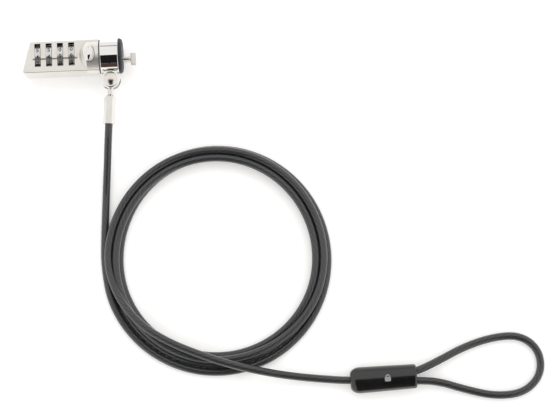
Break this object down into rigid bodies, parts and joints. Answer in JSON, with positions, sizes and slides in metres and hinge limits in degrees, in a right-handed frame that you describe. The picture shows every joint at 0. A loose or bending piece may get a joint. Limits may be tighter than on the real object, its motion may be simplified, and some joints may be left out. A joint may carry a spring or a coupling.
{
  "type": "laptop cable lock",
  "caption": "Combination lock head with number wheels, push button and turning locking bar, on a coiled steel security cable with an end loop.",
  "frame": {"origin": "centre of the rubber bumper's front face, on the barrel's axis, where the lock meets the laptop", "axes": "+X out of the lock's nose along the barrel, +Z out of the face with the number wheels, the cable leaves towards -Y; the flat surface it lies on is at z = -9.5 mm"},
  "size_m": [0.2617, 0.1961, 0.0215],
  "materials": {
    "satin_nickel": "satin plated zinc",
    "polished_chrome": "polished",
    "wheel_silver": "satin with dark numbers",
    "lock_steel": "satin",
    "inner_brass": "machined",
    "spring_steel": "drawn wire and strip",
    "dark_washer": "moulded",
    "nose_rubber": "matt",
    "rivet_nickel": "satin",
    "ferrule_nickel": "crimped and plated",
    "cable_jacket": "clear smoked vinyl over twisted steel wire",
    "crimp_black": "gloss",
    "sleeve_aluminium": "pressed"
  },
  "bodies": {
    "head": {"dial_housing": "satin_nickel", "rear_cover": "satin_nickel", "cover_screws": "lock_steel", "spindle_bush": "inner_brass", "dial_spacers": "inner_brass", "detent_spring": "spring_steel", "reset_bush": "inner_brass", "shoulder_barrel": "polished_chrome", "button_spring": "spring_steel", "spring_seat": "lock_steel", "core_tube": "lock_steel", "retaining_ring": "spring_steel", "thrust_washer": "dark_washer", "rubber_bumper": "nose_rubber", "slot_guide": "lock_steel", "shaft_bush": "inner_brass"},
    "dial_1": {"dial_wheel_1": "wheel_silver", "clutch_ring_1": "inner_brass"},
    "dial_2": {"dial_wheel_2": "wheel_silver", "clutch_ring_2": "inner_brass"},
    "dial_3": {"dial_wheel_3": "wheel_silver", "clutch_ring_3": "inner_brass"},
    "dial_4": {"dial_wheel_4": "wheel_silver", "clutch_ring_4": "inner_brass"},
    "spindle": {"spindle": "lock_steel"},
    "reset": {"reset_screw": "lock_steel"},
    "button": {"push_button": "polished_chrome"},
    "lock_bar": {"locking_bar": "lock_steel", "cam_block": "inner_brass"},
    "collar": {"swivel_collar": "polished_chrome", "pivot_rivet": "rivet_nickel", "pivot_washers": "inner_brass"},
    "cable": {"cable_ferrule": "ferrule_nickel", "cable_lead": "cable_jacket", "cable_coil": "cable_jacket", "cable_tail": "cable_jacket", "cable_loop": "cable_jacket", "crimp_cover": "crimp_black", "crimp_sleeve": "sleeve_aluminium"}
  },
  "joints": [
    {"name": "dial_1_turn", "type": "hinge", "parent": "head", "child": "dial_1", "pos_m": [-0.04375, 0.001, 0.0003], "axis": [1, 0, 0], "continuous": true},
    {"name": "dial_2_turn", "type": "hinge", "parent": "head", "child": "dial_2", "pos_m": [-0.0379, 0.001, 0.0003], "axis": [1, 0, 0], "continuous": true},
    {"name": "dial_3_turn", "type": "hinge", "parent": "head", "child": "dial_3", "pos_m": [-0.03205, 0.001, 0.0003], "axis": [1, 0, 0], "continuous": true},
    {"name": "dial_4_turn", "type": "hinge", "parent": "head", "child": "dial_4", "pos_m": [-0.0262, 0.001, 0.0003], "axis": [1, 0, 0], "continuous": true},
    {"name": "lock_bar_turn", "type": "hinge", "parent": "head", "child": "lock_bar", "pos_m": [0, -0.002, 0], "axis": [1, 0, 0], "range_deg": [0, 90]},
    {"name": "button_press", "type": "slide", "parent": "head", "child": "button", "axis": [0.3584, 0, -0.9336], "range_m": [0, 0.0015], "stiffness_N_per_m": 400, "springref_m": -0.0015},
    {"name": "spindle_slide", "type": "slide", "parent": "head", "child": "spindle", "axis": [-1, 0, 0], "range_m": [0, 0.0012]},
    {"name": "reset_turn", "type": "hinge", "parent": "head", "child": "reset", "pos_m": [-0.0487, 0.004, -0.0024], "axis": [-0.9644, 0.2646, 0], "range_deg": [0, 90]},
    {"name": "collar_swivel", "type": "hinge", "parent": "head", "child": "collar", "pos_m": [-0.0067, 0, 0], "axis": [1, 0, 0], "continuous": true},
    {"name": "cable_swing", "type": "hinge", "parent": "collar", "child": "cable", "pos_m": [-0.00655, -0.0125, 0], "axis": [0, 0, 1], "range_deg": [-65, 75]}
  ],
  "couplings": [
    {"joint": "lock_bar_turn", "follows": "button_press", "rad_per_m": 1047.2},
    {"joint": "spindle_slide", "follows": "button_press", "ratio": 0.8}
  ]
}
